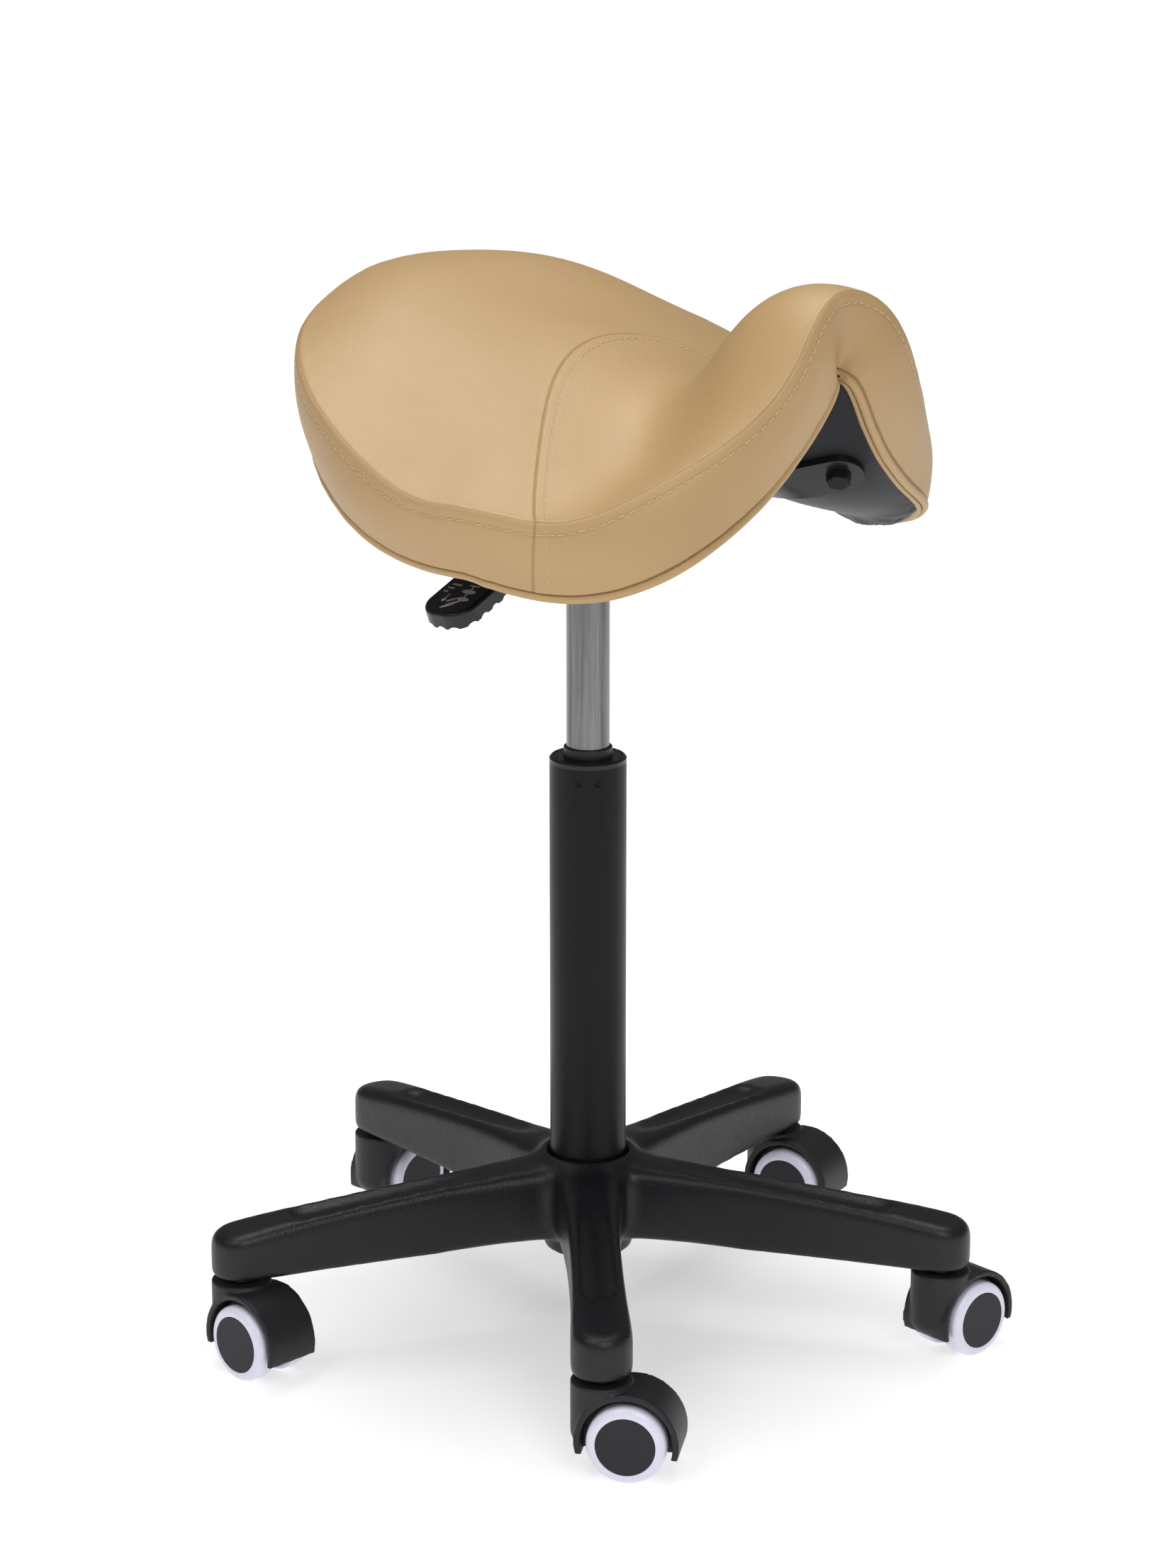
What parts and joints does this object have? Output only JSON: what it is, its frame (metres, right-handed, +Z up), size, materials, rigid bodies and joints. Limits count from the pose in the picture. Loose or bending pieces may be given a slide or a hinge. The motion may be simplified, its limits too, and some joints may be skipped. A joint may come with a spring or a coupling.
{
  "type": "saddle stool",
  "caption": "Saddle-shaped work stool: padded tan seat on a gas lift with a height lever, and a star-shaped black base on hooded casters.",
  "frame": {"origin": "on the floor, on the axis of the height column", "axes": "+Z up along the column; +X towards the pommel (the sitter faces +X); +Y to the sitter's left, the release lever is on -Y"},
  "size_m": [0.4993, 0.4961, 0.7088],
  "materials": {
    "tan_leatherette": "fine-grained tan artificial leather with a soft semi-matte sheen",
    "black_fabric": "thin black non-woven lining cloth",
    "shell_plastic": "plain moulded polypropylene",
    "black_nylon": "leather-grained glass-filled nylon with a low sheen",
    "hood_plastic": "matte black moulded plastic",
    "cap_plastic": "flat black discs",
    "wheel_plastic": "pale lilac-white polyurethane, slightly glossy",
    "lever_plastic": "black moulded plastic with white printed pictograms",
    "bearing_plastic": "black acetal",
    "column_paint": "satin black powder coat",
    "frame_paint": "glossy black enamel",
    "brushed_chrome": "brushed chromed steel tube",
    "bare_steel": "ground steel",
    "black_bolt": "black-oxide steel",
    "black_rubber": "soft black rubber"
  },
  "bodies": {
    "base": {"star_base": "black_nylon", "stem_sleeves": "bearing_plastic", "caster_stems": "bare_steel", "column_tube": "column_paint", "guide_bush": "bearing_plastic", "wiper_seal": "black_rubber", "thrust_bearing": "bare_steel"},
    "spindle": {"piston_rod": "bare_steel", "retaining_clip": "bare_steel", "rubber_bumper": "black_rubber", "piston": "bearing_plastic"},
    "seat": {"pressure_tube": "brushed_chrome", "tube_end_plug": "bearing_plastic", "valve_body": "bearing_plastic", "taper_socket": "frame_paint", "mechanism_housing": "frame_paint", "top_plate": "frame_paint", "lever_pivot_pin": "bare_steel", "front_straps": "frame_paint", "rear_straps": "frame_paint", "frame_bolts": "black_bolt", "seat_bolts": "black_bolt", "tee_nuts": "bare_steel", "seat_shell": "shell_plastic", "seat_cushion": "tan_leatherette", "under_cover": "black_fabric"},
    "lever": {"lever_rod": "bare_steel", "lever_paddle": "lever_plastic"},
    "button": {"release_button": "bare_steel"},
    "swivel_1": {"caster_1_housing": "hood_plastic", "caster_1_axle": "bare_steel"},
    "wheel_1_a": {"caster_1_wheel_a": "wheel_plastic", "caster_1_cap_a": "cap_plastic"},
    "wheel_1_b": {"caster_1_wheel_b": "wheel_plastic", "caster_1_cap_b": "cap_plastic"},
    "swivel_2": {"caster_2_housing": "hood_plastic", "caster_2_axle": "bare_steel"},
    "wheel_2_a": {"caster_2_wheel_a": "wheel_plastic", "caster_2_cap_a": "cap_plastic"},
    "wheel_2_b": {"caster_2_wheel_b": "wheel_plastic", "caster_2_cap_b": "cap_plastic"},
    "swivel_3": {"caster_3_housing": "hood_plastic", "caster_3_axle": "bare_steel"},
    "wheel_3_a": {"caster_3_wheel_a": "wheel_plastic", "caster_3_cap_a": "cap_plastic"},
    "wheel_3_b": {"caster_3_wheel_b": "wheel_plastic", "caster_3_cap_b": "cap_plastic"},
    "swivel_4": {"caster_4_housing": "hood_plastic", "caster_4_axle": "bare_steel"},
    "wheel_4_a": {"caster_4_wheel_a": "wheel_plastic", "caster_4_cap_a": "cap_plastic"},
    "wheel_4_b": {"caster_4_wheel_b": "wheel_plastic", "caster_4_cap_b": "cap_plastic"},
    "swivel_5": {"caster_5_housing": "hood_plastic", "caster_5_axle": "bare_steel"},
    "wheel_5_a": {"caster_5_wheel_a": "wheel_plastic", "caster_5_cap_a": "cap_plastic"},
    "wheel_5_b": {"caster_5_wheel_b": "wheel_plastic", "caster_5_cap_b": "cap_plastic"}
  },
  "joints": [
    {"name": "column_swivel", "type": "hinge", "parent": "base", "child": "spindle", "pos_m": [0, 0, 0.0625], "axis": [0, 0, 1], "continuous": true},
    {"name": "seat_height", "type": "slide", "parent": "spindle", "child": "seat", "axis": [0, 0, 1], "range_m": [-0.11, 0.08]},
    {"name": "height_lever", "type": "hinge", "parent": "seat", "child": "lever", "pos_m": [0, -0.025, 0.5536], "axis": [-1, 0, 0], "range_deg": [0, 7], "stiffness_Nm_per_rad": 4, "springref_deg": -14.32},
    {"name": "gas_valve", "type": "slide", "parent": "seat", "child": "button", "axis": [0, 0, -1], "range_m": [0, 0.004], "stiffness_N_per_m": 1500},
    {"name": "caster_1_swivel", "type": "hinge", "parent": "base", "child": "swivel_1", "pos_m": [0.21788, 0.09701, 0.06], "axis": [0, 0, 1], "continuous": true},
    {"name": "wheel_1_a_roll", "type": "hinge", "parent": "swivel_1", "child": "wheel_1_a", "pos_m": [0.22039, 0.11483, 0.025], "axis": [-0.9903, 0.1392, 0], "continuous": true},
    {"name": "wheel_1_b_roll", "type": "hinge", "parent": "swivel_1", "child": "wheel_1_b", "pos_m": [0.22039, 0.11483, 0.025], "axis": [-0.9903, 0.1392, 0], "continuous": true},
    {"name": "caster_2_swivel", "type": "hinge", "parent": "base", "child": "swivel_2", "pos_m": [-0.02493, 0.23719, 0.06], "axis": [0, 0, 1], "continuous": true},
    {"name": "wheel_2_a_roll", "type": "hinge", "parent": "swivel_2", "child": "wheel_2_a", "pos_m": [-0.0072, 0.24032, 0.025], "axis": [-0.1736, 0.9848, 0], "continuous": true},
    {"name": "wheel_2_b_roll", "type": "hinge", "parent": "swivel_2", "child": "wheel_2_b", "pos_m": [-0.0072, 0.24032, 0.025], "axis": [-0.1736, 0.9848, 0], "continuous": true},
    {"name": "caster_3_swivel", "type": "hinge", "parent": "base", "child": "swivel_3", "pos_m": [-0.23329, 0.04959, 0.06], "axis": [0, 0, 1], "continuous": true},
    {"name": "wheel_3_a_roll", "type": "hinge", "parent": "swivel_3", "child": "wheel_3_a", "pos_m": [-0.23235, 0.06756, 0.025], "axis": [-0.9986, 0.0523, 0], "continuous": true},
    {"name": "wheel_3_b_roll", "type": "hinge", "parent": "swivel_3", "child": "wheel_3_b", "pos_m": [-0.23235, 0.06756, 0.025], "axis": [-0.9986, 0.0523, 0], "continuous": true},
    {"name": "caster_4_swivel", "type": "hinge", "parent": "base", "child": "swivel_4", "pos_m": [-0.11925, -0.20655, 0.06], "axis": [0, 0, 1], "continuous": true},
    {"name": "wheel_4_a_roll", "type": "hinge", "parent": "swivel_4", "child": "wheel_4_a", "pos_m": [-0.10132, -0.20812, 0.025], "axis": [0.0872, 0.9962, 0], "continuous": true},
    {"name": "wheel_4_b_roll", "type": "hinge", "parent": "swivel_4", "child": "wheel_4_b", "pos_m": [-0.10132, -0.20812, 0.025], "axis": [0.0872, 0.9962, 0], "continuous": true},
    {"name": "caster_5_swivel", "type": "hinge", "parent": "base", "child": "swivel_5", "pos_m": [0.15959, -0.17724, 0.06], "axis": [0, 0, 1], "continuous": true},
    {"name": "wheel_5_a_roll", "type": "hinge", "parent": "swivel_5", "child": "wheel_5_a", "pos_m": [0.17518, -0.16824, 0.025], "axis": [-0.5, 0.866, 0], "continuous": true},
    {"name": "wheel_5_b_roll", "type": "hinge", "parent": "swivel_5", "child": "wheel_5_b", "pos_m": [0.17518, -0.16824, 0.025], "axis": [-0.5, 0.866, 0], "continuous": true}
  ],
  "couplings": [
    {"joint": "gas_valve", "follows": "height_lever", "m_per_rad": 0.025}
  ]
}
